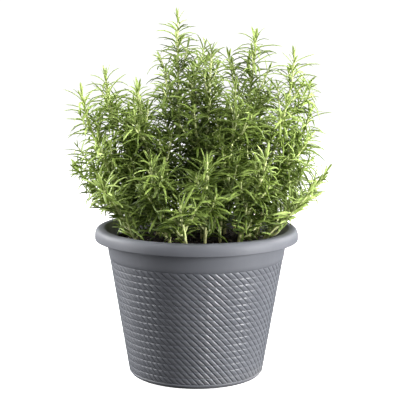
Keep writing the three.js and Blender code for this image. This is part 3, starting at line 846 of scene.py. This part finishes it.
scale = sheet.add("ShaderNodeCombineXYZ", {}, {"X": tall, "Y": wide, "Z": tall})

# A leaf isn't grown where its tip would lie in the soil, below the cone that widens upwards from
# the planter's rim, or beyond the bush. Nor is one at the start of a shoot or on a stem's woody
# foot. Young ones are left out at random, and more of them far below the shoot's tip.
tip = {"X": tall * LEAF_TIP[0], "Z": tall * LEAF_TIP[1]}
tip = sheet.add("ShaderNodeCombineXYZ", {}, tip)
tip = sheet.add("FunctionNodeRotateVector", {}, {"Vector": tip, "Rotation": turned})
root = sheet.add("GeometryNodeInputPosition")
tip = sheet.add("ShaderNodeVectorMath", {"operation": "ADD"}, {0: tip, 1: root})
tip_x = sheet.add("ShaderNodeSeparateXYZ", {}, {0: tip})
tip_y, tip_z = tip_x.out("Y"), tip_x.out("Z")
away = (tip_x * tip_x + tip_y * tip_y) ** 0.5
lowest = size["Rim Height"] + (away - size["Rim Radius"]) * size["Outward Slope"]
blocked = ((away > size["Rim Radius"]) * (tip_z < lowest)).most(tip_z < size["Soil Height"])
blocked = blocked.most(share_here < size["Bare Share"]).most(radius_here > size["Bare Radius"])
deep = tip_y - size["Middle Depth"]
beyond = (tip_x * tip_x > size["Half Width"] ** 2).most(deep * deep > size["Half Depth"] ** 2)
blocked = blocked.most(beyond)
tufted = 0.3 + below_tip.rise(0.02, 0.05) * 0.25 - below_tip.rise(0.08, 0.16) * 0.35 - fine * 0.1
blocked = blocked.most(young * (chance(sheet, 0.0, 1.0, seed + 7) > tufted))

# The leaves near a shoot's tip, and the young ones, are straighter than the others.
last_kind = len(LEAF_ARCHES) - 1
picked = chance(sheet, 0.0, 3.2, seed + 8) + (1 - tip_near) * 1.8 - young * 0.8
kinds = sheet.add("GeometryNodeCollectionInfo", {}, {
    "Collection": size["Leaf Kinds"], "Separate Children": True, "Reset Children": True,
})
leaves = sheet.add("GeometryNodeInstanceOnPoints", {}, {
    "Points": dots, "Selection": 1 - blocked, "Instance": kinds, "Pick Instance": True,
    "Instance Index": picked.least(last_kind).most(0), "Rotation": turned, "Scale": scale,
})

# Painted shade makes the leaves in the middle of the bush, 280 mm up, dark, and dims the fresh
# green of those inside it. Those on its outer part are of all shades, with painted light making
# them paler at its two sides and its top, and a fresher green near the shoots' tips.
from_middle = sheet.add("ShaderNodeVectorMath", {"operation": "DISTANCE"}, {
    0: root, 1: (0, 0, 0.28),
}, output="Value")
# Painted shade: leaves near the bush's middle get darker colours, where the leaves round them shade
# them.
clear_of_painted_shade = from_middle.rise(0.08, 0.18)
# Painted shade also dims the fresh green of the young leaves inside the bush.
youth_dimmed_by_painted_shade = (1 - below_tip.rise(0, 0.11)).most(young * 0.4) * (0.4 + clear_of_painted_shade * 0.6)
root_x = sheet.add("ShaderNodeSeparateXYZ", {}, {0: root})
root_z = root_x.out("Z")
sideways = (root_x * root_x) ** 0.5
# Painted light: leaves at the bush's two sides and near its top are made paler, where the lamps
# fall strongest.
painted_side_and_top_light = sideways.rise(0.06, 0.14) * root_z.rise(0.2, 0.28) * 0.36
painted_side_and_top_light = painted_side_and_top_light + root_z.rise(0.24, 0.33) * 0.12
# The shade number is each leaf's random tone, darkened by painted shade inside the bush and raised
# by painted light at its sides and top.
shade = chance(sheet, 0.0, 1.0, seed + 9) * (0.3 + clear_of_painted_shade * 0.7) + painted_side_and_top_light
leaves = marked(sheet, leaves, "leaf_shade", shade, domain="INSTANCE")
leaves = marked(sheet, leaves, "leaf_youth", youth_dimmed_by_painted_shade, domain="INSTANCE")
leaves = sheet.add("GeometryNodeRealizeInstances", {}, {"Geometry": leaves})
leaves = sheet.add("GeometryNodeSetMaterial", {}, {"Geometry": leaves, "Material": size["Leaf"]})
joined = sheet.add("GeometryNodeJoinGeometry")
for part in (tubes, leaves):
    sheet.tree.links.new(part.socket, joined.socket.node.inputs[0])
sheet.add("NodeGroupOutput", {}, {0: joined})
leafy_shoots = sheet.tree

# A leaf is dark green above and paler beneath and at its root, and the youngest are yellow-green.
leaf_green, leaf_sheet, shader = material("rosemary_leaf", IOR=1.46, Specular_IOR_Level=0.24)
# The shade number carries each leaf's random tone with painted shade inside the bush and painted
# light at its sides and top. The youth number is dimmed by the same painted shade.
shade = leaf_sheet.attribute("leaf_shade")
youth_with_painted_shade = leaf_sheet.attribute("leaf_youth")
along = leaf_sheet.attribute("leaf_along")
upper = leaf_sheet.attribute("leaf_upper")
place = leaf_sheet.add("ShaderNodeTexCoord", output="Object")
mottle = leaf_sheet.add("ShaderNodeTexNoise", {}, {"Vector": place, "Scale": 160, "Detail": 3})
green = leaf_sheet.mix(shade, (0.008, 0.020, 0.001), (0.245, 0.36, 0.040))
fresh = leaf_sheet.mix(shade, (0.060, 0.105, 0.006), (0.48, 0.60, 0.20))
# Leaves raised high by painted light also take on more of the fresh green.
green = leaf_sheet.mix(youth_with_painted_shade * 0.55 + (shade > 0.8) * 0.3, green, fresh)
pale = leaf_sheet.mix(shade, (0.12, 0.16, 0.028), (0.44, 0.53, 0.17))
green = leaf_sheet.mix((1 - upper).rise(0.3, 1) * 0.75, green, pale)
green = leaf_sheet.mix((1 - along.rise(0, 0.14)) * 0.6, green, (0.44, 0.50, 0.12))
green = leaf_sheet.mix(mottle.rise(0.45, 0.75) * 0.2, green, (0.03, 0.05, 0.003))
veins = leaf_sheet.add("ShaderNodeTexNoise", {}, {"Vector": place, "Scale": 900, "Detail": 2})
bump = leaf_sheet.add("ShaderNodeBump", {}, {"Strength": 0.25, "Distance": 0.0003, "Height": veins})
roughness = 0.58 - upper * 0.18 + mottle * 0.08
connect(leaf_sheet, shader, Base_Color=green, Roughness=roughness, Normal=bump)

stem_wood, wood_sheet, shader = material("rosemary_stem", IOR=1.45)
place = wood_sheet.add("ShaderNodeTexCoord", output="Object")
radius = wood_sheet.attribute("shoot_radius")
noise_of = {"Vector": place, "Scale": 380, "Detail": 5, "Roughness": 0.7}
bark = wood_sheet.add("ShaderNodeTexNoise", {}, noise_of)
young_green = wood_sheet.mix(bark.rise(0.3, 0.7), (0.50, 0.57, 0.22), (0.72, 0.75, 0.40))
brown = wood_sheet.mix(bark.rise(0.35, 0.65), (0.26, 0.25, 0.09), (0.46, 0.45, 0.20))
woody = radius.rise(0.0020, 0.0025)
rind = wood_sheet.mix(woody, young_green, brown)
bump = wood_sheet.add("ShaderNodeBump", {}, {"Strength": 0.5, "Distance": 0.0005, "Height": bark})
connect(wood_sheet, shader, Base_Color=rind, Roughness=0.55 + woody * 0.3, Normal=bump)

for index, (name, *growth) in enumerate(STEMS):
    curves = shoot_curves("shoots", shoots_of(*growth))
    stem = piece_of("rosemary_" + name, [])
    grow(stem, leafy_shoots, **{
        "Shoots": curves, "Leaf Kinds": leaf_kinds, "Wood": stem_wood, "Leaf": leaf_green,
        "Seed": 20 * index + 1,
    })
    bpy.data.objects.remove(curves)
    stem.data.shade_smooth()
    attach(stem, "root")
    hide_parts("stem_" + name)

for shape in list(leaf_kinds.objects):
    bpy.data.objects.remove(shape)
bpy.data.collections.remove(leaf_kinds)


# ------------------------------------------------------------------ studio
# A plain white floor and surroundings. A soft light stands low at the right, a wider and weaker
# one at the left, two behind the plant that light the edges of its leaves, and a weak one above
# it. The camera is level with the plant's top, about two steps away, and looks slightly down.

LENS = 109.83
SENSOR = 36
CAMERA_PLACE = (3.4, -1778.9, 528.7)
CAMERA_PITCH = 8.601  # degrees downwards
CAMERA_ROLL = -0.3  # degrees
FLOOR_REACH = 9000

camera = bpy.data.objects.new("camera", bpy.data.cameras.new("camera"))
camera.data.lens = LENS
camera.data.sensor_width = SENSOR
camera.location = Vector(CAMERA_PLACE) * MM
camera.rotation_euler = (math.radians(90 - CAMERA_PITCH), math.radians(CAMERA_ROLL), 0)
bpy.context.scene.collection.objects.link(camera)
bpy.context.scene.camera = camera

corners = [(x * FLOOR_REACH, y * FLOOR_REACH, 0) for x, y in ((-1, -1), (1, -1), (1, 1), (-1, 1))]
floor = piece_of("floor", corners, [(0, 1, 2, 3)])
white_floor, sheet, shader = material("white_floor", Base_Color=(0.9, 0.9, 0.9, 1), Roughness=0.9)
shader.inputs["Emission Color"].default_value = (1, 1, 1, 1)
shader.inputs["Emission Strength"].default_value = 0.97
floor.data.materials.append(white_floor)
floor.visible_diffuse = False  # the floor shines, and would light the plant from below
floor.visible_glossy = False


def softbox(name, place, aim, width, height, power):
    """A rectangular light, in metres and watts, that is turned towards a point."""
    lamp = bpy.data.objects.new(name, bpy.data.lights.new(name, "AREA"))
    lamp.data.shape = "RECTANGLE"
    lamp.data.size = width
    lamp.data.size_y = height
    lamp.data.energy = power
    lamp.location = place
    lamp.rotation_euler = (Vector(aim) - Vector(place)).to_track_quat("-Z", "Y").to_euler()
    bpy.context.scene.collection.objects.link(lamp)


softbox("key_right", (1.9, -0.95, 0.45), (0, 0, 0.25), 0.4, 0.8, 93)
softbox("fill_left", (-1.9, -0.35, 0.45), (0, 0, 0.2), 1.3, 1.3, 46)
softbox("behind_left", (-1.8, 0.9, 1.1), (0, 0, 0.45), 1.2, 1.2, 76)
softbox("behind_right", (1.8, 0.9, 1.1), (0, 0, 0.45), 1.2, 1.2, 58)
softbox("top", (0, -0.6, 2.2), (0, 0, 0.35), 0.7, 0.7, 34)

world = bpy.data.worlds.new("white_room")
world.use_nodes = True
bpy.context.scene.world = world
sheet = Sheet(world.node_tree)
background = world.node_tree.nodes["Background"]
direction = sheet.add("ShaderNodeTexCoord", output="Generated")
towards_right = sheet.add("ShaderNodeSeparateXYZ", {}, {0: direction}, output="X")
upwards = towards_right.out("Z")

# The room looks white, and lights the plant far less than that.
room = 0.02 + upwards.rise(-0.3, 0.1) * 0.06 + towards_right.rise(0.2, 1) * 0.12
seen = sheet.add("ShaderNodeLightPath", output="Is Camera Ray")
sheet.tree.links.new((room * (1 - seen) + seen * 1.1).socket, background.inputs["Strength"])
background.inputs["Color"].default_value = (1, 1, 1, 1)
bpy.context.scene.view_settings.view_transform = "Standard"
